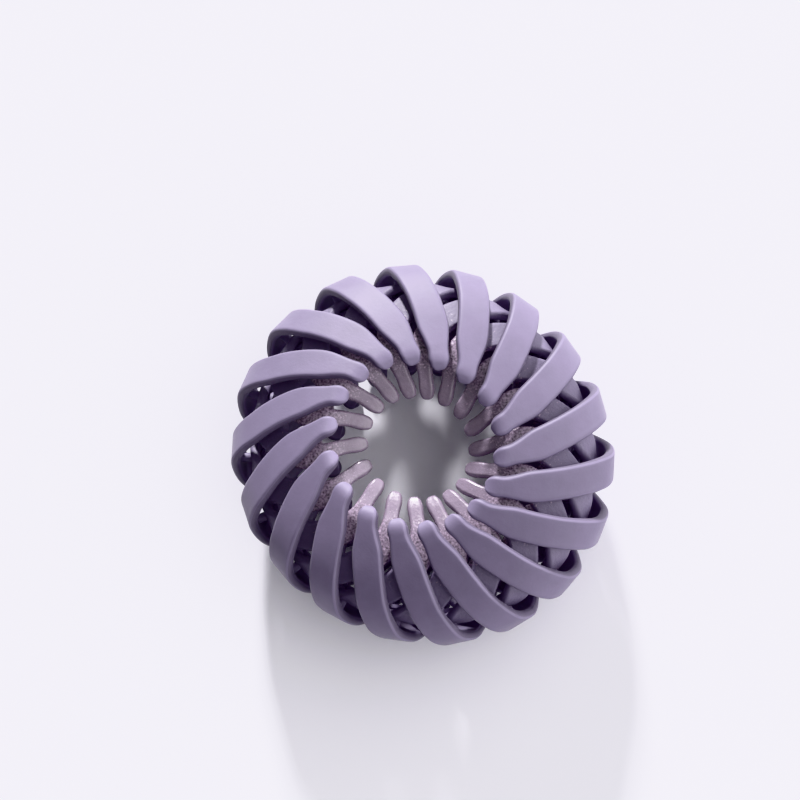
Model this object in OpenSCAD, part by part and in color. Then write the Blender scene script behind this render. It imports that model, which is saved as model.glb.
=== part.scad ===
// Bird nest hair clip: a springy ring of hooked claws in two layers that cross each other.
// It lies flat, with +Z up, and its origin is the centre of the ring on the table.

/* [Ring] */
// Number of claws in each layer
claws = 18; // [16:1:18]
// Diameter over the outer claws
ring_d = 85.5; // [80:0.5:90]
// Height of the ring as it lies
ring_h = 32; // [30:1:34]
// Gap between the two layers at the rim
layer_gap = 2; // [1.4:0.2:2.4]
// Gap between the two layers at the top
crown_gap = 1.9; // [1.8:0.1:2.1]
// Turn of the whole ring about its axis, in degrees
ring_turn = 19; // [0:1:20]

/* [Outer claws] */
// Width of an outer band
outer_w = 7.2; // [6.4:0.2:7.6]
// Thickness of an outer band
outer_t = 2.2; // [1.8:0.1:2.4]
// Angle between an outer band and the straight way over the ring, in degrees
outer_lean = 26; // [23:1:27]
// Turn of an outer band about its length at the top, with its counter-clockwise edge up, in degrees
outer_roll = 11; // [8:1:12]
// How much wider than the upper circle of tips the lower one is, in radius
lower_tips_open = 3.6; // [2:0.2:5]

/* [Inner claws] */
// Width of an inner band
inner_w = 6.6; // [6.2:0.2:6.8]
// Thickness of an inner band
inner_t = 2.2; // [1.8:0.1:2.4]
// Angle between an inner band and the straight way over the ring, in degrees
inner_lean = 42; // [39:1:43]
// Angle between a tooth and the straight way in, to the other side, in degrees
tooth_lean = 12; // [8:1:16]

/* [Pins] */
// Radius of the pins that join the layers where their bands cross
pin_r = 1; // [0.8:0.1:1.1]
// Play of a pin in its hole, on the radius
pin_play = 0.15; // [0.1:0.05:0.2]
// Radius of the plain head that keeps a pin in its hole
pin_head_r = 1.7; // [1.5:0.1:1.8]
// Thickness of that head
pin_head_t = 0.8; // [0.6:0.1:1]

/* [Hidden] */
pitch = 360 / claws;

// Where a band crosses the round top of the ring, its edges stand this much over its middle
edge_rise = 0.44;

// Centre lines: radius of each layer's rim, and height of its top over the ring's middle plane
outer_rim = ring_d / 2 - outer_t / 2;
outer_top = ring_h / 2 - outer_t / 2 - edge_rise;
inner_rim = outer_rim - outer_t / 2 - layer_gap - inner_t / 2;
inner_top = outer_top - outer_t / 2 - crown_gap - inner_t / 2;

// Columns of the two tables below. Radius is a share of the layer's rim, height a share of its
// top, width and thickness shares of its band's, and lean is in degrees, positive where the way
// out also goes counter-clockwise.
RADIUS = 0;
HEIGHT = 1;
WIDTH = 2;
THICK = 3;
LEAN = 4;

// Outer claw from the end of its upper finger to the rim
outer_rows = [
    [0.421, 0.955, 0.30, 0.45, outer_lean],
    [0.431, 0.978, 0.52, 0.86, outer_lean],
    [0.455, 1.000, 0.67, 1.08, outer_lean],
    [0.505, 0.985, 0.64, 1.09, outer_lean],
    [0.565, 0.945, 0.79, 1.05, outer_lean],
    [0.633, 0.895, 0.98, 1.00, outer_lean],
    [0.687, 0.850, 1.00, 1.00, outer_lean],
    [0.742, 0.797, 1.00, 1.00, outer_lean],
    [0.845, 0.665, 1.00, 1.00, outer_lean],
    [0.932, 0.485, 1.00, 1.00, outer_lean],
    [0.986, 0.262, 1.00, 1.00, outer_lean],
    [1.000, 0.000, 1.00, 1.00, outer_lean],
];

// Radius of the circle on which the upper fingers end
tip_circle = outer_rim * outer_rows[0][RADIUS];

// Inner claw from the end of its tooth to the rim
inner_rows = [
    [0.299, 0.700, 0.24, 0.40, tooth_lean],
    [0.306, 0.712, 0.42, 0.74, tooth_lean],
    [0.330, 0.740, 0.50, 0.91, tooth_lean],
    [0.430, 0.860, 0.51, 0.91, tooth_lean],
    [0.543, 0.970, 0.65, 0.95, tooth_lean],
    [0.651, 0.945, 0.94, 1.00, -0.40 * inner_lean],
    [0.763, 0.824, 1.00, 1.00, -0.85 * inner_lean],
    [0.866, 0.660, 1.00, 1.00, -1.00 * inner_lean],
    [0.946, 0.460, 1.00, 1.00, -1.10 * inner_lean],
    [0.989, 0.245, 1.00, 1.00, -1.20 * inner_lean],
    [1.000, 0.000, 1.00, 1.00, -1.20 * inner_lean],
];

// The lower end of an inner claw is short and plain: it stops at this row of its table, with
// this share of the band's width and thickness
inner_last_row = 5;
inner_end_share = 0.5;

// How unevenly the springy ring lies. Each row is a wave round the ring: how many times it
// swings, where it peaks, its turn of the rims and its extra turn of the tips in degrees, and
// its stretch outward as a share of the radius. The tips' extra turn sets in at this radius.
tips_turn_from = 0.87 * outer_rim;
WAVES = 0;
PEAK = 1;
RIM_TURN = 2;
TIP_TURN = 3;
STRETCH = 4;
lie_rows = [
    [1, 210, 3.0, 0.0, 0.0],
    [1, 333, 0.0, 3.8, 0.0],
    [2, 74, 0.7, 3.3, 0.0],
    [2, 138, 0.0, 0.0, 0.036],
];

// Bevel of a band's edges as shares of its thickness, down its sides and in from its faces
bevel_side = 0.24;
bevel_face = 0.26;
SIDES = 8;

// Sum of one column of the lie over all waves at an azimuth
function lie(azimuth, column) =
    [for (w = lie_rows) w[column] * cos(w[WAVES] * (azimuth - w[PEAK]))] * [for (w = lie_rows) 1];

// Turn from one row of a table to the next, and from a row to the rim
function step_turn(rows, rim, top, i) =
    let (
        a = rows[i],
        b = rows[i + 1],
        run = norm([rim * (b[RADIUS] - a[RADIUS]), top * (b[HEIGHT] - a[HEIGHT])]),
        radius = rim * (a[RADIUS] + b[RADIUS]) / 2
    )
    tan((a[LEAN] + b[LEAN]) / 2) * run / radius * 180 / PI;
function turn_to_rim(rows, rim, top, i) =
    i >= len(rows) - 1 ? 0 : step_turn(rows, rim, top, i) + turn_to_rim(rows, rim, top, i + 1);

// Station on a claw's centre line: radius, height, turn from the rim, width, thickness and roll,
// which fades from the top to none at the rim
function station(rows, rim, top, w, t, i, side, open, roll) =
    let (
        r = rows[i],
        radius = rim * r[RADIUS],
        inward = (rim - radius) / (rim - tip_circle)
    )
    [
        radius + open * pow(min(inward, 1), 2),
        side * top * r[HEIGHT],
        -side * turn_to_rim(rows, rim, top, i),
        w * r[WIDTH],
        t * r[THICK],
        side * roll * r[HEIGHT],
    ];

// All stations of each kind of claw, from its upper end over the rim to its lower end
outer_stations = [
    for (i = [0 : len(outer_rows) - 1])
        station(outer_rows, outer_rim, outer_top, outer_w, outer_t, i, 1, 0, outer_roll),
    for (i = [len(outer_rows) - 2 : -1 : 0])
        station(outer_rows, outer_rim, outer_top, outer_w, outer_t, i, -1, lower_tips_open,
            outer_roll),
];
inner_stations = [
    for (i = [0 : len(inner_rows) - 1])
        station(inner_rows, inner_rim, inner_top, inner_w, inner_t, i, 1, 0, 0),
    for (i = [len(inner_rows) - 2 : -1 : inner_last_row + 1])
        station(inner_rows, inner_rim, inner_top, inner_w, inner_t, i, -1, 0, 0),
    station(inner_rows, inner_rim, inner_top, inner_w * inner_end_share,
        inner_t * inner_end_share, inner_last_row, -1, 0, 0),
];

// Place of a station on the ring as it lies, for a claw whose rim is at an even azimuth
function place(s, azimuth) =
    let (
        even = azimuth + s[2],
        tipness = min(max((tips_turn_from - s[0]) / (tips_turn_from - tip_circle), 0), 1),
        turned = even + lie(even, RIM_TURN) + tipness * lie(even, TIP_TURN),
        radius = s[0] * (1 + lie(even, STRETCH))
    )
    [radius * cos(turned), radius * sin(turned), ring_h / 2 + s[1]];

function unit(v) = v / norm(v);

// Way out of the surface at a station, as radius and height
function lift_at(stations, i) =
    let (
        a = stations[max(i - 1, 0)],
        b = stations[min(i + 1, len(stations) - 1)]
    )
    unit([a[1] - b[1], b[0] - a[0]]);

// Frame at station i: its place, the way along the claw, the way out of its face, the way across
function frame_at(stations, azimuth, i) =
    let (
        a = stations[max(i - 1, 0)],
        b = stations[min(i + 1, len(stations) - 1)],
        here = place(stations[i], azimuth),
        along = unit(place(b, azimuth) - place(a, azimuth)),
        out = unit([here[0], here[1], 0]),
        lift = lift_at(stations, i),
        across = unit(cross([lift[0] * out[0], lift[0] * out[1], lift[1]], along))
    )
    [here, along, cross(along, across), across];

// Section of a band: a rectangle with bevelled edges, across and out, turned by its roll
function section(w, t, roll) =
    let (
        x = w / 2,
        y = t / 2,
        e = y - bevel_side * t,
        f = x - bevel_face * t
    )
    [[x, e], [f, y], [-f, y], [-x, e], [-x, -e], [-f, -y], [f, -y], [x, -e]]
        * [[cos(roll), sin(roll)], [-sin(roll), cos(roll)]];

module claw(stations, azimuth) {
    last = len(stations) - 1;
    points = [
        for (i = [0 : last])
            let (f = frame_at(stations, azimuth, i))
            for (c = section(stations[i][3], stations[i][4], stations[i][5]))
                f[0] + c[0] * f[3] + c[1] * f[2],
    ];
    walls = [
        for (i = [0 : last - 1])
            for (j = [0 : SIDES - 1])
                let (
                    a = SIDES * i + j,
                    b = SIDES * i + (j + 1) % SIDES
                )
                each [[a, a + SIDES, b], [b, a + SIDES, b + SIDES]],
    ];
    first_end = [for (j = [0 : SIDES - 1]) j];
    last_end = [for (j = [SIDES - 1 : -1 : 0]) SIDES * last + j];
    polyhedron(points, concat([first_end, last_end], walls));
}

// Pins sit on the rim, and above and below it where an outer claw crosses its neighbour's inner
// claw. That place is a share of the way between two rows of the outer claw, counted in rows
// from the rim: the share at which the two bands' turns differ by one pitch.
RIM_ROW = len(outer_rows) - 1;
pin_near = 2;
pin_far = 3;
// The foot of such a pin lies within this many rows of the inner claw from the rim
foot_rows = 4;
function pin_gap(side) = side == 0 ? layer_gap : (layer_gap + crown_gap) / 2;
function pin_reach(side) = (outer_t + inner_t) / 2 + pin_gap(side);
inner_turns = [
    for (i = [len(inner_rows) - 1 : -1 : len(inner_rows) - 1 - foot_rows])
        [inner_stations[i][1], inner_stations[i][2]],
];
function cross_turn(i) =
    let (foot = outer_stations[i][1] - pin_reach(1) * lift_at(outer_stations, i)[1])
    lookup(foot, inner_turns) - outer_stations[i][2];
pin_share = lookup(pitch, [[cross_turn(RIM_ROW - pin_near), 0], [cross_turn(RIM_ROW - pin_far), 1]]);

// Foot of a pin inside the outer band, and the way out of the band there
function pin_at(azimuth, side) =
    let (
        near = frame_at(outer_stations, azimuth, RIM_ROW - pin_near * side),
        far = frame_at(outer_stations, azimuth, RIM_ROW - pin_far * side)
    )
    [
        pin_share * far[0] + (1 - pin_share) * near[0],
        unit(pin_share * far[2] + (1 - pin_share) * near[2]),
    ];

// Puts its children at the foot of a pin, with +Z along the pin into the ring
module on_pin(azimuth, side) {
    p = pin_at(azimuth, side);
    way = -p[1];
    translate(p[0])
        rotate([0, acos(way[2]), atan2(way[1], way[0])])
            children();
}

module pin(azimuth, side) {
    shaft = pin_reach(side) + inner_t / 2 + 3 * pin_play;
    on_pin(azimuth, side) {
        cylinder(r = pin_r, h = shaft + pin_head_t);
        translate([0, 0, shaft])
            cylinder(r = pin_head_r, h = pin_head_t);
    }
}

module pin_hole(azimuth, side) {
    reach = pin_reach(side);
    on_pin(azimuth, side)
        translate([0, 0, reach - inner_t])
            cylinder(r = pin_r + pin_play, h = 2 * inner_t);
}

function rim_azimuth(k) = ring_turn + pitch * (k - 1);

module outer_claw(k) {
    color("thistle")
        union() {
            claw(outer_stations, rim_azimuth(k));
            for (side = [-1 : 1])
                pin(rim_azimuth(k), side);
        }
}

module inner_claw(k) {
    color("rosybrown")
        difference() {
            claw(inner_stations, rim_azimuth(k));
            for (side = [-1 : 1])
                pin_hole(rim_azimuth(k + side), side);
        }
}

function claw_name(kind, k) = str(kind, "_claw_", k < 10 ? "0" : "", k);

for (k = [1 : claws])
    outer_claw(k);
for (k = [1 : claws])
    inner_claw(k);
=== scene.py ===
import bisect
import math
from collections import namedtuple

import bmesh
import bpy
from bpy.props import FloatProperty, FloatVectorProperty, IntProperty, PointerProperty
from mathutils import Matrix, Vector


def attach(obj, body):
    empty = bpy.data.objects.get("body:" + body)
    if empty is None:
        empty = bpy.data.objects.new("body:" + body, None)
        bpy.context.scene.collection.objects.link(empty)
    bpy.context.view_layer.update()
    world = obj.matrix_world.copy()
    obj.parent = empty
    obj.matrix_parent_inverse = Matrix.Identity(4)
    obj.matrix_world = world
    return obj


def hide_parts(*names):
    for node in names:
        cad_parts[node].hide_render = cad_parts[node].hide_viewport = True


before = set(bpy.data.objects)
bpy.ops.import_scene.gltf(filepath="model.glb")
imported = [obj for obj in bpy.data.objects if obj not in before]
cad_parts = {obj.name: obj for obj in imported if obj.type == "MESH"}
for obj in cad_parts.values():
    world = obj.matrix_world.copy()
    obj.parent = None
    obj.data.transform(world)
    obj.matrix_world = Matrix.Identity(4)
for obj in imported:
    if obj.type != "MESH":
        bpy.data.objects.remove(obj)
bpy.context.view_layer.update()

bl_info = {
    "name": "Bird Nest Hair Clip",
    "version": (1, 0, 0),
    "blender": (4, 5, 0),
    "location": "3D View > Sidebar > Hair Clip",
    "description": "Builds a springy ring of hooked claws in two crossing layers",
    "category": "Add Mesh",
}

MM = 0.001

# One row of a claw's table: radius as a share of its layer's rim, height as a share of its
# layer's top, width and thickness as shares of its band's, and lean in degrees, positive where
# the way out also goes counter-clockwise.
Row = namedtuple("Row", "radius height width thick lean")

# A place on a claw's centre line: radius, height over the ring's middle plane, turn from the
# rim in degrees, width and thickness. Roll turns the band about its length, in degrees. Along
# goes from 0 at the upper end to 1 at the rim, and to 2 where a lower end has all its rows.
Station = namedtuple("Station", "radius height turn width thick roll along")
RIM_ALONG = 1

# A wave of the ring's uneven lie: how often it swings round the ring, where it peaks, its turn
# of the rims and its extra turn of the tips in degrees, and its stretch outward as a share of
# the radius
Wave = namedtuple("Wave", "waves peak rim_turn tip_turn stretch")
LIE = (
    Wave(1, 210, 3.0, 0.0, 0.0),
    Wave(1, 333, 0.0, 3.8, 0.0),
    Wave(2, 74, 0.7, 3.3, 0.0),
    Wave(2, 138, 0.0, 0.0, 0.036),
)

# The tips' extra turn sets in at this share of the outer rim's radius
TIPS_TURN_FROM = 0.87

# A band crossing the round top of the ring has edges that stand this far over its middle
EDGE_RISE = 0.44 * MM

# Bevel of a band's edges as shares of its thickness, down its sides and in from its faces
BEVEL_SIDE = 0.24
BEVEL_FACE = 0.26

# Width of the strip along a bevel that keeps the face beside it flat, as a share of the thickness
BEVEL_HOLD = 0.16

# What each corner of half a section is: side -1, face 0 or edge 1
EDGE_SHARES = (-1, -1, 1, 0, 0, 1)

# Usual distance between two sections along a claw, half the span over which the curve's
# direction is taken there, and levels of the surface that rounds the band
SECTION_STEP = 1.2 * MM
DIRECTION_REACH = 0.3 * MM
ROUND_LEVELS = 2

# The lower end of an inner claw stops at this row, with this share of the width and thickness
INNER_LAST_ROW = 5
INNER_END_SHARE = 0.5

# The pins of an outer claw: below its rim (-1), on it (0) and above it (1)
PIN_SIDES = (-1, 0, 1)

# Rows from the rim between which the upper and lower pins sit, and how many rows from its rim an
# inner claw is searched for their feet
PIN_NEAR = 2
PIN_FAR = 3
FOOT_ROWS = 4

# Gap between an inner claw and the head of its pin, in plays of the pin in its hole
HEAD_PLAYS = 3

# Sides of a round rod, greatest size of the slivers that are cleaned off where pin holes are cut,
# and the angle between two faces from which the edge between them stays sharp
ROD_SIDES = 24
SLIVER = 0.01 * MM
SHARP_FROM = math.radians(50)

# Span of a speckled border on an inner claw, and the distances from the rim at which its coat
# gives way to flecks, its plastic begins and the flecks give way to clear plastic, all as shares
# of the table
BARE_BLEND = 0.1
FLECKS_FROM = 0.43
PLASTIC_FROM = FLECKS_FROM + BARE_BLEND
CLEAR_FROM = FLECKS_FROM + 2 * BARE_BLEND

# A soft step between two looks: the value where it sets in, the value where it is over, and the
# greatest share of the second look. An edge goes from the middle of a face (0) to a bevel (1) or
# to the middle of a side (-1), and a finger's tip is where along is 0.
Step = namedtuple("Step", "start end most")
# Edges paler, in part from a thinner coat and in part from a painted highlight along the bevels
EDGE_WEAR_AND_HIGHLIGHT = Step(0.6, 1.0, 0.3)
# Sides darker from painted shade
SIDE_SHADE = Step(0.1, -0.7, 0.7)
# Fingertips paler from a painted highlight and some rubbed coat
TIP_WEAR_AND_HIGHLIGHT = Step(0.26, 0.078, 0.7)

# The speckled border between two looks, in blends: its soft step, and how far a full swing of the
# noise moves it. The speckles' scale says how fine they are.
BORDER_STEP = Step(-0.3, 0.3, 1.0)
BORDER_SWING = 4
BORDER_SCALE = 2200

# Middle of a noise's values
NOISE_MIDDLE = 0.5

# The patches of a colour: how fine they are, and how far they swing about it
Patches = namedtuple("Patches", "scale depth")
COAT_PATCHES = Patches(260, 0.22)
WEAR_AND_HIGHLIGHT_PATCHES = Patches(700, 0.3)
FLECK_PATCHES = Patches(2000, 3.2)
PLASTIC_PATCHES = Patches(900, 0.3)
FLOOR_PATCHES = Patches(40, 0.02)

# The grain of a surface: strength of its bump, how fine its orange peel is, and the height of the
# finer grain as a share of the peel's
Grain = namedtuple("Grain", "strength scale fine")
COAT_GRAIN = Grain(0.25, 1500, 0.5)
ROUGH_GRAIN = Grain(0.9, 1500, 0.6)
PLASTIC_GRAIN = Grain(0.8, 1500, 0.6)

# Height of every grain, and how much finer the finer grain is than the orange peel
GRAIN_HEIGHT = 0.1 * MM
FINER = 4

# Places of a Mix node's colour sockets among its inputs and outputs
MIX_LOW = 6
MIX_HIGH = 7
MIX_RESULT = 2

# Roughness of the coat, of its speckled border and of the bare plastic
COAT_ROUGHNESS = 0.55
BORDER_ROUGHNESS = 0.2
PLASTIC_ROUGHNESS = 0.22

# Half the side of the square floor
FLOOR_REACH = 3000 * MM

# The camera's sensor width in millimetres, the nearest place that it sees, and the point that it
# aims at, from the ring's middle
SENSOR_WIDTH = 36
NEAREST_SEEN = 10 * MM
AIM = Vector((-5.11, 12.1, 0)) * MM

# Where the key light comes from, and the angle that it fills, which softens its shadows
KEY_WAY = Vector((-0.11, 1, 0.365))
KEY_ANGLE = math.radians(6)


class RingSizes(bpy.types.PropertyGroup):
    """Sizes of the whole ring"""

    claws: IntProperty(
        name="Claws", description="Number of claws in each layer", default=18, min=16, max=18
    )
    diameter: FloatProperty(
        name="Diameter",
        description="Diameter over the outer claws",
        default=85.5 * MM,
        unit="LENGTH",
    )
    height: FloatProperty(
        name="Height", description="Height of the ring as it lies", default=32 * MM, unit="LENGTH"
    )
    layer_gap: FloatProperty(
        name="Layer gap",
        description="Gap between the layers at the rim",
        default=2 * MM,
        unit="LENGTH",
    )
    crown_gap: FloatProperty(
        name="Crown gap",
        description="Gap between the layers at the top",
        default=1.9 * MM,
        unit="LENGTH",
    )
    turn: FloatProperty(
        name="Turn", description="Turn of the whole ring about its axis, in degrees", default=19
    )


class ClawSizes(bpy.types.PropertyGroup):
    """Sizes of the outer and inner claws and of their pins"""

    outer_width: FloatProperty(
        name="Outer width", description="Width of an outer band", default=7.2 * MM, unit="LENGTH"
    )
    outer_thick: FloatProperty(
        name="Outer thickness",
        description="Thickness of an outer band",
        default=2.2 * MM,
        unit="LENGTH",
    )
    outer_lean: FloatProperty(
        name="Outer lean",
        description="Slant of an outer band over the ring, in degrees",
        default=26,
    )
    outer_roll: FloatProperty(
        name="Outer roll",
        description="Turn of an outer band about its length at the top, in degrees",
        default=11,
    )
    lower_tips_open: FloatProperty(
        name="Lower opening",
        description="How much wider the lower circle of tips is than the upper one",
        default=3.6 * MM,
        unit="LENGTH",
    )
    inner_width: FloatProperty(
        name="Inner width", description="Width of an inner band", default=6.6 * MM, unit="LENGTH"
    )
    inner_thick: FloatProperty(
        name="Inner thickness",
        description="Thickness of an inner band",
        default=2.2 * MM,
        unit="LENGTH",
    )
    inner_lean: FloatProperty(
        name="Inner lean",
        description="Slant of an inner band over the ring, in degrees",
        default=42,
    )
    tooth_lean: FloatProperty(
        name="Tooth lean", description="Slant of a tooth to the other side, in degrees", default=12
    )
    pin_radius: FloatProperty(
        name="Pin radius",
        description="Radius of a pin between the layers",
        default=1 * MM,
        unit="LENGTH",
    )
    pin_play: FloatProperty(
        name="Pin play",
        description="Play of a pin in its hole",
        default=0.15 * MM,
        unit="LENGTH",
    )
    pin_head_radius: FloatProperty(
        name="Pin head radius",
        description="Radius of a pin's head",
        default=1.7 * MM,
        unit="LENGTH",
    )
    pin_head_thick: FloatProperty(
        name="Pin head thickness",
        description="Thickness of a pin's head",
        default=0.8 * MM,
        unit="LENGTH",
    )


class FinishColours(bpy.types.PropertyGroup):
    """Colours of the coat, the bare plastic and the floor"""

    coat: FloatVectorProperty(
        name="Coat",
        description="Matte coat",
        subtype="COLOR",
        size=3,
        default=(0.169, 0.141, 0.223),
    )
    # Paler coat of the edges and fingertips: a thinner, rubbed coat with a painted highlight
    wear_and_highlight: FloatVectorProperty(
        name="Worn coat",
        description="Thin coat on an edge",
        subtype="COLOR",
        size=3,
        default=(0.255, 0.215, 0.335),
    )
    # Darker coat of the sides: painted shade
    shaded: FloatVectorProperty(
        name="Shaded coat",
        description="Coat on a side",
        subtype="COLOR",
        size=3,
        default=(0.08, 0.065, 0.105),
    )
    plastic: FloatVectorProperty(
        name="Plastic",
        description="Bare plastic",
        subtype="COLOR",
        size=3,
        default=(0.27, 0.215, 0.29),
    )
    flecks: FloatVectorProperty(
        name="Flecks",
        description="Specks of plastic in the coat",
        subtype="COLOR",
        size=3,
        default=(0.37, 0.29, 0.39),
    )
    floor: FloatVectorProperty(
        name="Floor",
        description="Pale floor",
        subtype="COLOR",
        size=3,
        default=(0.89, 0.87, 0.945),
    )


class StageSizes(bpy.types.PropertyGroup):
    """Camera and lights"""

    azimuth: FloatProperty(
        name="Azimuth", description="Way that the camera looks, in degrees from +Y", default=36
    )
    elevation: FloatProperty(
        name="Elevation",
        description="Height of the camera over the horizon, in degrees",
        default=77.6,
    )
    distance: FloatProperty(
        name="Distance", description="Distance of the camera", default=500 * MM, unit="LENGTH"
    )
    lens: FloatProperty(name="Lens", description="Focal length in millimetres", default=100)
    key: FloatProperty(name="Key light", description="Strength of the low key light", default=7.0)
    right_fill: FloatProperty(
        name="Right fill", description="Soft light from the right of the picture", default=3.1
    )
    back_fill: FloatProperty(
        name="Back fill", description="Soft light from the side of the key light", default=0.3
    )
    top_fill: FloatProperty(name="Top fill", description="Soft light from above", default=0.35)


def mix(a, b, share):
    """The value that lies a share of the way from a to b."""
    return a + (b - a) * share


def outer_rows(sizes):
    """Rows of an outer claw from the end of its upper finger to the rim."""
    lean = sizes.outer_lean
    return [
        Row(0.421, 0.955, 0.18, 0.34, lean),
        Row(0.431, 0.978, 0.44, 0.78, lean),
        Row(0.455, 1.000, 0.65, 1.07, lean),
        Row(0.505, 0.985, 0.64, 1.09, lean),
        Row(0.565, 0.945, 0.79, 1.05, lean),
        Row(0.633, 0.895, 0.98, 1.00, lean),
        Row(0.687, 0.850, 1.00, 1.00, lean),
        Row(0.742, 0.797, 1.00, 1.00, lean),
        Row(0.845, 0.665, 1.00, 1.00, lean),
        Row(0.932, 0.485, 1.00, 1.00, lean),
        Row(0.986, 0.262, 1.00, 1.00, lean),
        Row(1.000, 0.000, 1.00, 1.00, lean),
    ]


def inner_rows(sizes):
    """Rows of an inner claw from the end of its tooth to the rim."""
    tooth = sizes.tooth_lean
    band = -sizes.inner_lean
    return [
        Row(0.299, 0.700, 0.15, 0.32, tooth),
        Row(0.306, 0.712, 0.36, 0.68, tooth),
        Row(0.330, 0.740, 0.50, 0.91, tooth),
        Row(0.430, 0.860, 0.51, 0.91, tooth),
        Row(0.543, 0.970, 0.65, 0.95, tooth),
        Row(0.651, 0.945, 0.94, 1.00, 0.40 * band),
        Row(0.763, 0.824, 1.00, 1.00, 0.85 * band),
        Row(0.866, 0.660, 1.00, 1.00, 1.00 * band),
        Row(0.946, 0.460, 1.00, 1.00, 1.10 * band),
        Row(0.989, 0.245, 1.00, 1.00, 1.20 * band),
        Row(1.000, 0.000, 1.00, 1.00, 1.20 * band),
    ]


class Layer:
    """One layer of claws: its rim, its top and the stations of a claw in it."""

    def __init__(
        self, rows, rim, top, width, thick, roll=0.0, opening=0.0, last_row=0, end_share=1.0
    ):
        self.rim = rim
        self.top = top
        self.width = width
        self.thick = thick
        self.roll = roll
        self.rows = rows
        self.tip_circle = rim * rows[0].radius
        turns = self.turns_to_rim()
        upper = [self.station(i, 1, turns[i], 0.0) for i in range(len(rows))]
        below_rim = range(len(rows) - 2, last_row - 1, -1)
        lower = [self.station(i, -1, turns[i], opening) for i in below_rim]
        end = lower[-1]
        lower[-1] = end._replace(width=end.width * end_share, thick=end.thick * end_share)
        self.coarse = upper + lower
        self.distances = self.distances_along()
        self.slopes = self.slopes_along()

    def turns_to_rim(self):
        """Turn about the ring's axis from each row to the rim, in degrees."""
        turns = [0.0]
        for a, b in zip(self.rows[-2::-1], self.rows[:0:-1]):
            run = math.hypot(self.rim * (b.radius - a.radius), self.top * (b.height - a.height))
            radius = self.rim * (a.radius + b.radius) / 2
            lean = math.radians((a.lean + b.lean) / 2)
            turns.append(turns[-1] + math.degrees(math.tan(lean) * run / radius))
        return turns[::-1]

    def station(self, i, side, turn, opening):
        """Station at row i above (side 1) or below (side -1) the middle plane."""
        row = self.rows[i]
        radius = self.rim * row.radius
        inward = min((self.rim - radius) / (self.rim - self.tip_circle), 1)
        return Station(
            radius + opening * inward**2,
            side * self.top * row.height,
            -side * turn,
            self.width * row.width,
            self.thick * row.thick,
            side * self.roll * row.height,
            RIM_ALONG - side * (1 - i / (len(self.rows) - 1)),
        )

    def distances_along(self):
        """Distance of each coarse station from the upper end, along the claw."""
        distances = [0.0]
        for a, b in zip(self.coarse, self.coarse[1:]):
            sweep = math.radians(b.turn - a.turn) * (a.radius + b.radius) / 2
            run = math.hypot(b.radius - a.radius, b.height - a.height, sweep)
            distances.append(distances[-1] + run)
        return distances

    def slopes_along(self):
        """Rate at which each value of a station changes, at each coarse station."""
        runs = [b - a for a, b in zip(self.distances, self.distances[1:])]
        rates = [
            [(v - u) / run for u, v in zip(a, b)]
            for a, b, run in zip(self.coarse, self.coarse[1:], runs)
        ]
        inner = [
            [(u * after + v * before) / (before + after) for u, v in zip(rate, following)]
            for rate, following, before, after in zip(rates, rates[1:], runs, runs[1:])
        ]
        return [rates[0], *inner, rates[-1]]

    def station_at(self, distance):
        """Station on the smooth curve through the coarse ones, at a distance from the upper end."""
        i = min(bisect.bisect(self.distances, distance), len(self.coarse) - 1) - 1
        i = max(i, 0)
        run = self.distances[i + 1] - self.distances[i]
        t = (distance - self.distances[i]) / run
        start, end = t * t * (2 * t - 3) + 1, t * t * (3 - 2 * t)
        leave, arrive = t * (t - 1) ** 2 * run, t * t * (t - 1) * run
        values = zip(self.coarse[i], self.coarse[i + 1], self.slopes[i], self.slopes[i + 1])
        return Station(*(a * start + b * end + u * leave + v * arrive for a, b, u, v in values))

    def section_places(self):
        """Distances from the upper end at which the band's sections stand."""
        places = []
        for a, b in zip(self.distances, self.distances[1:]):
            steps = max(round((b - a) / SECTION_STEP), 1)
            places += [mix(a, b, step / steps) for step in range(steps)]
        return [*places, self.distances[-1]]


def make_layers(ring, sizes):
    """The outer and the inner layer."""
    rim = ring.diameter / 2 - sizes.outer_thick / 2
    top = ring.height / 2 - sizes.outer_thick / 2 - EDGE_RISE
    between = (sizes.outer_thick + sizes.inner_thick) / 2
    outer = Layer(
        outer_rows(sizes),
        rim,
        top,
        sizes.outer_width,
        sizes.outer_thick,
        roll=sizes.outer_roll,
        opening=sizes.lower_tips_open,
    )
    inner = Layer(
        inner_rows(sizes),
        rim - between - ring.layer_gap,
        top - between - ring.crown_gap,
        sizes.inner_width,
        sizes.inner_thick,
        last_row=INNER_LAST_ROW,
        end_share=INNER_END_SHARE,
    )
    return outer, inner


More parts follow.
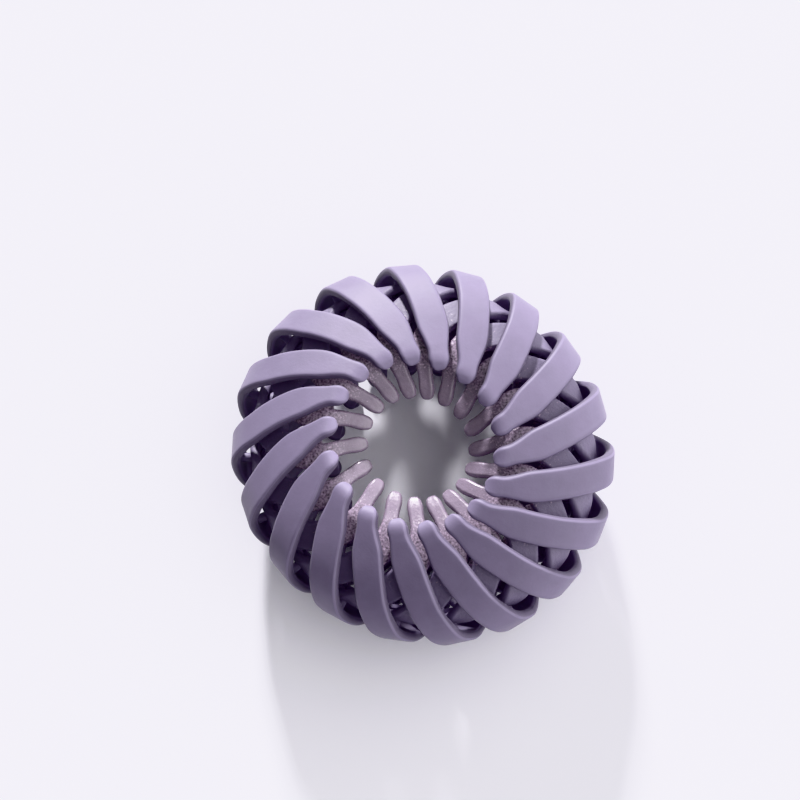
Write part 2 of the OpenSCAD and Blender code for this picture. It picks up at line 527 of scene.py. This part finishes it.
class Ring:
    """Places stations of both layers on the ring as it lies."""

    def __init__(self, ring, sizes):
        self.ring = ring
        self.sizes = sizes
        self.outer, self.inner = make_layers(ring, sizes)
        self.turn_from = TIPS_TURN_FROM * self.outer.rim
        self.turn_to = self.outer.tip_circle
        self.pin_share = self.find_pin_share()

    def rim_azimuth(self, k):
        """Azimuth of claw k's rim on an even ring, in degrees."""
        return self.ring.turn + 360 / self.ring.claws * (k - 1)

    def place(self, station, azimuth):
        """Point of a station, for a claw whose rim is at an even azimuth."""
        even = azimuth + station.turn
        tipness = (self.turn_from - station.radius) / (self.turn_from - self.turn_to)
        tipness = min(max(tipness, 0), 1)
        swings = [math.cos(math.radians(w.waves * (even - w.peak))) for w in LIE]
        turned = even + sum(s * (w.rim_turn + tipness * w.tip_turn) for s, w in zip(swings, LIE))
        radius = station.radius * (1 + sum(s * w.stretch for s, w in zip(swings, LIE)))
        turned = math.radians(turned)
        return Vector((
            radius * math.cos(turned),
            radius * math.sin(turned),
            self.ring.height / 2 + station.height,
        ))

    def band_frame(self, before, station, after, azimuth):
        """Matrix at a station between two others: across the band, out of its face, along it."""
        here = self.place(station, azimuth)
        along = (self.place(after, azimuth) - self.place(before, azimuth)).normalized()
        out = Vector((here.x, here.y, 0)).normalized()
        rise = Vector((before.height - after.height, after.radius - before.radius)).normalized()
        lift = out * rise.x + Vector((0, 0, rise.y))
        across = lift.cross(along).normalized()
        turn = Matrix((across, along.cross(across), along)).transposed()
        return Matrix.Translation(here) @ turn.to_4x4()

    def section_matrix(self, layer, distance, azimuth):
        """Matrix of a band's section at a distance from the claw's upper end."""
        reaches = (-DIRECTION_REACH, 0, DIRECTION_REACH)
        before, station, after = (layer.station_at(distance + reach) for reach in reaches)
        roll = Matrix.Rotation(math.radians(station.roll), 4, "Z")
        return self.band_frame(before, station, after, azimuth) @ roll

    def pin_gap(self, side):
        """Gap between the layers at a pin above (1), on (0) or below (-1) the rim."""
        rim, crown = self.ring.layer_gap, self.ring.crown_gap
        return rim if side == 0 else (rim + crown) / 2

    def pin_reach(self, side):
        """Distance between the middles of the two bands at a pin."""
        return (self.sizes.outer_thick + self.sizes.inner_thick) / 2 + self.pin_gap(side)

    def cross_turn(self, i):
        """Turn between the two bands under row i of the outer claw."""
        before, station, after = self.outer.coarse[i - 1 : i + 2]
        rise = Vector((before.height - after.height, after.radius - before.radius))
        foot = station.height - self.pin_reach(1) * rise.normalized().y
        rim_row = len(self.inner.rows) - 1
        falling = self.inner.coarse[rim_row - FOOT_ROWS : rim_row + 1]
        for high, low in zip(falling, falling[1:]):
            if low.height <= foot <= high.height:
                share = (foot - low.height) / (high.height - low.height)
                return mix(low.turn, high.turn, share) - station.turn
        raise RuntimeError("a pin's foot lies outside the inner band")

    def find_pin_share(self):
        """Share of the way between two rows at which the bands of neighbours cross."""
        rim_row = len(self.outer.rows) - 1
        near = self.cross_turn(rim_row - PIN_NEAR)
        far = self.cross_turn(rim_row - PIN_FAR)
        return min(max((360 / self.ring.claws - near) / (far - near), 0), 1)

    def pin_matrix(self, azimuth, side):
        """Matrix at the foot of a pin, with Z along the pin into the ring."""
        rim_row = len(self.outer.rows) - 1
        rows = [rim_row - PIN_NEAR * side, rim_row - PIN_FAR * side]
        near, far = (self.band_frame(*self.outer.coarse[i - 1 : i + 2], azimuth) for i in rows)
        foot = mix(near.to_translation(), far.to_translation(), self.pin_share)
        out = mix(near.col[1].xyz, far.col[1].xyz, self.pin_share)
        return Matrix.Translation(foot) @ (-out).to_track_quat("Z", "Y").to_matrix().to_4x4()


def section(width, thick):
    """Corners of a band's section, across and out: flat faces with bevelled edges."""
    x, y = width / 2, thick / 2
    edge = y - BEVEL_SIDE * thick
    face = x - BEVEL_FACE * thick
    flat = face - BEVEL_HOLD * thick
    half = [(x, -edge), (x, edge), (face, y), (flat, y), (-flat, y), (-face, y)]
    return [Vector((*c, 0)) for c in half] + [Vector((-a, -b, 0)) for a, b in half]


def claw_mesh(name, ring, layer, azimuth):
    """A claw's band: its section extruded from station to station, ready to be rounded."""
    bm = bmesh.new()
    along = bm.verts.layers.float.new("along")
    edge = bm.verts.layers.float.new("edge")
    cap = bm.faces.new([bm.verts.new(corner) for corner in section(layer.width, layer.thick)])
    for i, distance in enumerate(layer.section_places()):
        if i > 0:
            last = cap
            made = bmesh.ops.extrude_face_region(bm, geom=[last])
            cap = next(part for part in made["geom"] if isinstance(part, bmesh.types.BMFace))
        if i > 1:
            bmesh.ops.delete(bm, geom=[last], context="FACES_ONLY")
        station = layer.station_at(distance)
        matrix = ring.section_matrix(layer, distance, azimuth)
        for j, corner in enumerate(section(station.width, station.thick)):
            vert = cap.verts[j]
            vert.co = matrix @ corner
            vert[along] = station.along
            vert[edge] = EDGE_SHARES[j % len(EDGE_SHARES)]
    bmesh.ops.recalc_face_normals(bm, faces=bm.faces)
    mesh = bpy.data.meshes.new(name)
    bm.to_mesh(mesh)
    bm.free()
    return mesh


def applied(obj):
    """The object's mesh with its modifiers applied, as a new mesh."""
    shown = obj.evaluated_get(bpy.context.evaluated_depsgraph_get())
    return bpy.data.meshes.new_from_object(shown)


def rounded(mesh):
    """The mesh rounded by a subdivision surface, as an object."""
    obj = bpy.data.objects.new(mesh.name, mesh)
    bpy.context.scene.collection.objects.link(obj)
    surface = obj.modifiers.new("round", "SUBSURF")
    surface.levels = surface.render_levels = ROUND_LEVELS
    return obj


def finish_mesh(obj, mesh):
    """Gives the object its finished mesh, shaded smooth with crisp rims."""
    obj.modifiers.clear()
    obj.data = mesh
    mesh.name = obj.name
    mesh.shade_smooth()
    mesh.set_sharp_from_angle(angle=SHARP_FROM)


def add_rod(bm, matrix, radius, start, end):
    """A closed round rod on Z of the matrix, from start to end."""
    bmesh.ops.create_cone(
        bm,
        cap_ends=True,
        segments=ROD_SIDES,
        radius1=radius,
        radius2=radius,
        depth=end - start,
        matrix=matrix @ Matrix.Translation((0, 0, (start + end) / 2)),
    )


def add_pins(mesh, ring, azimuth):
    """Adds the plain pins with their heads to an outer claw's mesh."""
    sizes = ring.sizes
    bm = bmesh.new()
    bm.from_mesh(mesh)
    for side in PIN_SIDES:
        matrix = ring.pin_matrix(azimuth, side)
        shaft = ring.pin_reach(side) + sizes.inner_thick / 2 + HEAD_PLAYS * sizes.pin_play
        add_rod(bm, matrix, sizes.pin_radius, 0, shaft)
        add_rod(bm, matrix, sizes.pin_head_radius, shaft, shaft + sizes.pin_head_thick)
    bm.to_mesh(mesh)
    bm.free()


def cut_pin_holes(obj, ring, k):
    """The inner claw's mesh with the holes for the pins of three outer claws cut through it."""
    sizes = ring.sizes
    bm = bmesh.new()
    for side in PIN_SIDES:
        matrix = ring.pin_matrix(ring.rim_azimuth(k + side), side)
        reach = ring.pin_reach(side)
        radius = sizes.pin_radius + sizes.pin_play
        add_rod(bm, matrix, radius, reach - sizes.inner_thick, reach + sizes.inner_thick)
    mesh = bpy.data.meshes.new("holes")
    bm.to_mesh(mesh)
    bm.free()
    cutter = bpy.data.objects.new("holes", mesh)
    bpy.context.scene.collection.objects.link(cutter)
    cut = obj.modifiers.new("holes", "BOOLEAN")
    cut.operation = "DIFFERENCE"
    cut.solver = "MANIFOLD"
    cut.object = cutter
    mesh_cut = applied(obj)
    drop_slivers(mesh_cut)
    bpy.data.objects.remove(cutter)
    bpy.data.meshes.remove(mesh)
    return mesh_cut


def drop_slivers(mesh):
    """Joins points that nearly touch and takes out the faces without area that a cut leaves."""
    bm = bmesh.new()
    bm.from_mesh(mesh)
    bmesh.ops.triangulate(bm, faces=[face for face in bm.faces if len(face.verts) > 4])
    bmesh.ops.remove_doubles(bm, verts=bm.verts, dist=SLIVER)
    bmesh.ops.dissolve_degenerate(bm, edges=bm.edges, dist=SLIVER)
    bm.to_mesh(mesh)
    bm.free()


def make_outer_claw(ring, k):
    """One outer claw in place of its plain solid."""
    name = f"outer_claw_{k:02d}"
    obj = rounded(claw_mesh("matte_" + name, ring, ring.outer, ring.rim_azimuth(k)))
    mesh = applied(obj)
    add_pins(mesh, ring, ring.rim_azimuth(k))
    finish_mesh(obj, mesh)
    mesh.materials.append(coat_material())
    stand_for(obj, name)


def make_inner_claw(ring, k):
    """One inner claw in place of its plain solid."""
    name = f"inner_claw_{k:02d}"
    obj = rounded(claw_mesh("toothed_" + name, ring, ring.inner, ring.rim_azimuth(k)))
    mesh = cut_pin_holes(obj, ring, k)
    finish_mesh(obj, mesh)
    # The cut leaves an empty material slot
    mesh.materials.clear()
    mesh.materials.append(rough_coat_material())
    mesh.materials.append(plastic_material())
    along = mesh.attributes["along"].data
    for face in mesh.polygons:
        share = sum(along[v].value for v in face.vertices) / len(face.vertices)
        face.material_index = 1 if abs(share - RIM_ALONG) > PLASTIC_FROM else 0
    stand_for(obj, name)


def stand_for(obj, node):
    """The object rides on the one body and replaces its node."""
    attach(obj, "root")
    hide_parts(node)


def add_node(tree, kind, **settings):
    """A new shader node of a kind with its settings."""
    node = tree.nodes.new("ShaderNode" + kind)
    for key, value in settings.items():
        setattr(node, key, value)
    return node


def new_group(name, inputs, outputs):
    """A node group with named sockets, the sockets that it is given and those of its result."""
    tree = bpy.data.node_groups.new(name, "ShaderNodeTree")
    for way, sockets in (("INPUT", inputs), ("OUTPUT", outputs)):
        for socket, kind in sockets.items():
            tree.interface.new_socket(name=socket, in_out=way, socket_type="NodeSocket" + kind)
    given = tree.nodes.new("NodeGroupInput").outputs
    result = tree.nodes.new("NodeGroupOutput").inputs
    return tree, given, result


def use_group(tree, group, **values):
    """A node in the tree that shows the group, with the values of its inputs."""
    node = tree.nodes.new("ShaderNodeGroup")
    node.node_tree = group
    for key, value in values.items():
        node.inputs[key].default_value = value
    return node


def add_noise(tree, place, scale, detail):
    """Socket of a noise over the place, as fine as the scale's socket says."""
    node = add_node(tree, "TexNoise")
    node.inputs["Detail"].default_value = detail
    tree.links.new(place, node.inputs["Vector"])
    tree.links.new(scale, node.inputs["Scale"])
    return node.outputs["Fac"]


def add_math(tree, operation, *values):
    """Socket of a calculation with the values, each a number or a socket."""
    node = add_node(tree, "Math", operation=operation)
    for socket, value in zip(node.inputs, values):
        if isinstance(value, bpy.types.NodeSocket):
            tree.links.new(value, socket)
        else:
            socket.default_value = value
    return node.outputs[0]


def soft_step(tree, value, step):
    """Socket of a share that goes softly from 0 to the step's most as the value passes it."""
    node = add_node(tree, "MapRange", interpolation_type="SMOOTHSTEP")
    node.inputs["From Min"].default_value = step.start
    node.inputs["From Max"].default_value = step.end
    node.inputs["To Max"].default_value = step.most
    tree.links.new(value, node.inputs["Value"])
    return node.outputs["Result"]


def mottled_colour():
    """Group: a colour that varies gently from place to place."""
    group = bpy.data.node_groups.get("mottled colour")
    if group:
        return group
    sockets = {"Place": "Vector", "Colour": "Color", "Scale": "Float", "Depth": "Float"}
    group, given, result = new_group("mottled colour", sockets, {"Colour": "Color"})
    noise = add_noise(group, given["Place"], given["Scale"], detail=3)
    swing = add_math(group, "SUBTRACT", noise, NOISE_MIDDLE)
    factor = add_math(group, "MULTIPLY_ADD", swing, given["Depth"], 1)
    scaled = add_node(group, "VectorMath", operation="SCALE")
    group.links.new(given["Colour"], scaled.inputs[0])
    group.links.new(factor, scaled.inputs["Scale"])
    group.links.new(scaled.outputs[0], result["Colour"])
    return group


def grain():
    """Group: height of a fine grain over a coarser orange peel."""
    group = bpy.data.node_groups.get("grain")
    if group:
        return group
    sockets = {"Place": "Vector", "Scale": "Float", "Fine": "Float"}
    group, given, result = new_group("grain", sockets, {"Height": "Float"})
    peel = add_noise(group, given["Place"], given["Scale"], detail=1)
    finer = add_math(group, "MULTIPLY", given["Scale"], FINER)
    fine = add_noise(group, given["Place"], finer, detail=2)
    height = add_math(group, "MULTIPLY_ADD", fine, given["Fine"], peel)
    group.links.new(height, result["Height"])
    return group


def bare_share():
    """Group: how far an inner claw's coat has given way to bare plastic, with speckles."""
    group = bpy.data.node_groups.get("bare share")
    if group:
        return group
    sockets = {
        "Place": "Vector",
        "Along": "Float",
        "From": "Float",
        "Blend": "Float",
        "Scale": "Float",
    }
    group, given, result = new_group("bare share", sockets, {"Share": "Float"})
    from_rim = add_math(group, "SUBTRACT", given["Along"], RIM_ALONG)
    distance = add_math(group, "ABSOLUTE", from_rim)
    beyond = add_math(group, "SUBTRACT", distance, given["From"])
    blends = add_math(group, "DIVIDE", beyond, given["Blend"])
    speckle = add_noise(group, given["Place"], given["Scale"], detail=2)
    swing = add_math(group, "SUBTRACT", speckle, NOISE_MIDDLE)
    total = add_math(group, "MULTIPLY_ADD", swing, BORDER_SWING, blends)
    group.links.new(soft_step(group, total, BORDER_STEP), result["Share"])
    return group


def new_material(name):
    """A material, its node tree and its shader."""
    material = bpy.data.materials.new(name)
    material.use_nodes = True
    return material, material.node_tree, material.node_tree.nodes["Principled BSDF"]


def object_place(tree):
    """Socket of the place on the object."""
    return add_node(tree, "TexCoord").outputs["Object"]


def attribute(tree, name):
    """Socket of a value kept on the mesh."""
    return add_node(tree, "Attribute", attribute_name=name).outputs["Fac"]


def add_bump(tree, shader, place, surface):
    """The surface's grain on the shader."""
    height = use_group(tree, grain(), Scale=surface.scale, Fine=surface.fine)
    bump = add_node(tree, "Bump")
    bump.inputs["Strength"].default_value = surface.strength
    bump.inputs["Distance"].default_value = GRAIN_HEIGHT
    tree.links.new(place, height.inputs["Place"])
    tree.links.new(height.outputs["Height"], bump.inputs["Height"])
    tree.links.new(bump.outputs["Normal"], shader.inputs["Normal"])


def mottle(tree, place, colour, patches):
    """Socket of a colour that varies in patches."""
    given = {"Colour": (*colour, 1), "Scale": patches.scale, "Depth": patches.depth}
    node = use_group(tree, mottled_colour(), **given)
    tree.links.new(place, node.inputs["Place"])
    return node.outputs["Colour"]


def mix_colours(tree, share, low, high):
    """Socket of a colour that goes from low to high as the share rises."""
    node = add_node(tree, "Mix", data_type="RGBA")
    tree.links.new(share, node.inputs["Factor"])
    tree.links.new(low, node.inputs[MIX_LOW])
    tree.links.new(high, node.inputs[MIX_HIGH])
    return node.outputs[MIX_RESULT]


def border_share(tree, place, start):
    """Socket of a speckled border that begins about a share of the way from the rim."""
    border = use_group(tree, bare_share(), From=start, Blend=BARE_BLEND, Scale=BORDER_SCALE)
    tree.links.new(place, border.inputs["Place"])
    tree.links.new(attribute(tree, "along"), border.inputs["Along"])
    return border.outputs["Share"]


def coat_material():
    """Soft matte coat: gentle patches, edges and fingertips paler from rubbing and a painted
    highlight, sides darker from painted shade, and a fine grain.
    """
    material = bpy.data.materials.get("lavender coat")
    if material:
        return material
    material, tree, shader = new_material("lavender coat")
    colours = bpy.context.scene.clip_colours
    place = object_place(tree)
    edge = attribute(tree, "edge")
    coat = mottle(tree, place, colours.coat, COAT_PATCHES)
    # Paler coat of the edges and fingertips, thinner and rubbed, with a painted highlight
    wear_and_highlight = mottle(tree, place, colours.wear_and_highlight, WEAR_AND_HIGHLIGHT_PATCHES)
    # Coat darkened by painted shade, for the sides
    shaded = mottle(tree, place, colours.shaded, COAT_PATCHES)
    # Edges that take the paler coat and its painted highlight
    edge_wear_and_highlight = soft_step(tree, edge, EDGE_WEAR_AND_HIGHLIGHT)
    # Fingertips that take the paler coat and its painted highlight
    tip_wear_and_highlight = soft_step(tree, attribute(tree, "along"), TIP_WEAR_AND_HIGHLIGHT)
    wear_and_highlight_share = add_math(tree, "MAXIMUM", edge_wear_and_highlight, tip_wear_and_highlight)
    faces = mix_colours(tree, wear_and_highlight_share, coat, wear_and_highlight)
    # Painted shade darkens the sides
    base = mix_colours(tree, soft_step(tree, edge, SIDE_SHADE), faces, shaded)
    tree.links.new(base, shader.inputs["Base Color"])
    add_bump(tree, shader, place, COAT_GRAIN)
    shader.inputs["Roughness"].default_value = COAT_ROUGHNESS
    shader.inputs["Specular IOR Level"].default_value = 0.4
    shader.inputs["Sheen Weight"].default_value = 0.08
    return material


def rough_coat_material():
    """Coat of an inner claw: thin and speckled where it gives way to the bare plastic."""
    material = bpy.data.materials.get("rough lavender coat")
    if material:
        return material
    material, tree, shader = new_material("rough lavender coat")
    colours = bpy.context.scene.clip_colours
    place = object_place(tree)
    coat = mottle(tree, place, colours.coat, COAT_PATCHES)
    flecks = mottle(tree, place, colours.flecks, FLECK_PATCHES)
    share = border_share(tree, place, FLECKS_FROM)
    tree.links.new(mix_colours(tree, share, coat, flecks), shader.inputs["Base Color"])
    gloss = add_node(tree, "MapRange")
    gloss.inputs["To Min"].default_value = COAT_ROUGHNESS
    gloss.inputs["To Max"].default_value = BORDER_ROUGHNESS
    tree.links.new(share, gloss.inputs["Value"])
    tree.links.new(gloss.outputs["Result"], shader.inputs["Roughness"])
    add_bump(tree, shader, place, ROUGH_GRAIN)
    return material


def plastic_material():
    """Bare translucent plastic of a tooth: mauve and glossy, with an orange-peel surface."""
    material = bpy.data.materials.get("mauve plastic")
    if material:
        return material
    material, tree, shader = new_material("mauve plastic")
    colours = bpy.context.scene.clip_colours
    place = object_place(tree)
    flecks = mottle(tree, place, colours.flecks, FLECK_PATCHES)
    plastic = mottle(tree, place, colours.plastic, PLASTIC_PATCHES)
    share = border_share(tree, place, CLEAR_FROM)
    tree.links.new(mix_colours(tree, share, flecks, plastic), shader.inputs["Base Color"])
    add_bump(tree, shader, place, PLASTIC_GRAIN)
    shader.inputs["Roughness"].default_value = PLASTIC_ROUGHNESS
    shader.inputs["Transmission Weight"].default_value = 0.1
    shader.inputs["Coat Weight"].default_value = 0.6
    shader.inputs["Coat Roughness"].default_value = 0.15
    return material


class CLIP_OT_outer_claws(bpy.types.Operator):
    """Build the outer claws with their pins"""

    bl_idname = "clip.outer_claws"
    bl_label = "Outer Claws"

    def execute(self, context):
        ring = Ring(context.scene.clip_ring, context.scene.clip_claws)
        for k in range(1, ring.ring.claws + 1):
            make_outer_claw(ring, k)
        return {"FINISHED"}


class CLIP_OT_inner_claws(bpy.types.Operator):
    """Build the inner claws with their teeth and pin holes"""

    bl_idname = "clip.inner_claws"
    bl_label = "Inner Claws"

    def execute(self, context):
        ring = Ring(context.scene.clip_ring, context.scene.clip_claws)
        for k in range(1, ring.ring.claws + 1):
            make_inner_claw(ring, k)
        return {"FINISHED"}


def make_floor(colour):
    """The plain pale floor under the ring."""
    bm = bmesh.new()
    bmesh.ops.create_grid(bm, x_segments=1, y_segments=1, size=FLOOR_REACH)
    mesh = bpy.data.meshes.new("floor")
    bm.to_mesh(mesh)
    bm.free()
    floor = bpy.data.objects.new("floor", mesh)
    bpy.context.scene.collection.objects.link(floor)
    material, tree, shader = new_material("pale floor")
    patches = mottle(tree, object_place(tree), colour, FLOOR_PATCHES)
    tree.links.new(patches, shader.inputs["Base Color"])
    shader.inputs["Roughness"].default_value = 0.9
    mesh.materials.append(material)


def make_camera(stage, aim):
    """The camera, rolled so that +Y points up in the picture."""
    azimuth = math.radians(stage.azimuth)
    elevation = math.radians(stage.elevation)
    back = Vector((
        math.sin(azimuth) * math.cos(elevation),
        -math.cos(azimuth) * math.cos(elevation),
        math.sin(elevation),
    ))
    level = Vector((math.cos(azimuth), math.sin(azimuth), 0))
    data = bpy.data.cameras.new("camera")
    data.lens = stage.lens
    data.sensor_width = SENSOR_WIDTH
    data.clip_start = NEAREST_SEEN
    camera = bpy.data.objects.new("camera", data)
    bpy.context.scene.collection.objects.link(camera)
    turn = Matrix((level, back.cross(level), back)).transposed()
    roll = Matrix.Rotation(-azimuth, 3, "Z")
    camera.matrix_world = Matrix.Translation(aim + back * stage.distance) @ (turn @ roll).to_4x4()
    bpy.context.scene.camera = camera


def make_key_light(stage, aim):
    """The low key light, which shines from behind the ring in the picture."""
    data = bpy.data.lights.new("key", "SUN")
    data.energy = stage.key
    data.angle = KEY_ANGLE
    light = bpy.data.objects.new("key", data)
    bpy.context.scene.collection.objects.link(light)
    light.location = aim + KEY_WAY
    light.rotation_mode = "QUATERNION"
    light.rotation_quaternion = (-KEY_WAY).to_track_quat("-Z", "Y")


def make_sky(stage):
    """Soft light from the right, from the side of the key light and from above."""
    world = bpy.data.worlds.new("soft light")
    world.use_nodes = True
    tree = world.node_tree
    place = add_node(tree, "TexCoord")
    upper = add_node(tree, "VectorMath", operation="MAXIMUM")
    upper.inputs[1].default_value = (0, 0, 0)
    share = add_node(tree, "VectorMath", operation="DOT_PRODUCT")
    share.inputs[1].default_value = (stage.right_fill, stage.back_fill, stage.top_fill)
    tree.links.new(place.outputs["Generated"], upper.inputs[0])
    tree.links.new(upper.outputs["Vector"], share.inputs[0])
    tree.links.new(share.outputs["Value"], tree.nodes["Background"].inputs["Color"])
    return world


class CLIP_OT_stage(bpy.types.Operator):
    """Set the floor, the camera and the lights"""

    bl_idname = "clip.stage"
    bl_label = "Stage"

    def execute(self, context):
        scene = context.scene
        stage = scene.clip_stage
        make_floor(scene.clip_colours.floor)
        middle = Vector((0, 0, scene.clip_ring.height / 2))
        make_camera(stage, middle + AIM)
        make_key_light(stage, middle)
        scene.world = make_sky(stage)
        scene.view_settings.view_transform = "Khronos PBR Neutral"
        return {"FINISHED"}


class CLIP_PT_panel(bpy.types.Panel):
    """The hair clip's pieces and stage"""

    bl_idname = "CLIP_PT_panel"
    bl_label = "Bird Nest Hair Clip"
    bl_space_type = "VIEW_3D"
    bl_region_type = "UI"
    bl_category = "Hair Clip"

    def draw(self, context):
        for name in OPERATORS:
            self.layout.operator(name)


CLASSES = (
    RingSizes,
    ClawSizes,
    FinishColours,
    StageSizes,
    CLIP_OT_outer_claws,
    CLIP_OT_inner_claws,
    CLIP_OT_stage,
    CLIP_PT_panel,
)
OPERATORS = ("clip.outer_claws", "clip.inner_claws", "clip.stage")


def register():
    """Adds the classes and the properties that hold the sizes and colours."""
    for cls in CLASSES:
        bpy.utils.register_class(cls)
    bpy.types.Scene.clip_ring = PointerProperty(type=RingSizes)
    bpy.types.Scene.clip_claws = PointerProperty(type=ClawSizes)
    bpy.types.Scene.clip_colours = PointerProperty(type=FinishColours)
    bpy.types.Scene.clip_stage = PointerProperty(type=StageSizes)


def unregister():
    """Takes the properties and the classes out again."""
    del bpy.types.Scene.clip_stage
    del bpy.types.Scene.clip_colours
    del bpy.types.Scene.clip_claws
    del bpy.types.Scene.clip_ring
    for cls in reversed(CLASSES):
        bpy.utils.unregister_class(cls)


def main():
    """Builds the clip and its stage."""
    register()
    bpy.ops.clip.outer_claws()
    bpy.ops.clip.inner_claws()
    bpy.ops.clip.stage()


if __name__ == "__main__":
    main()
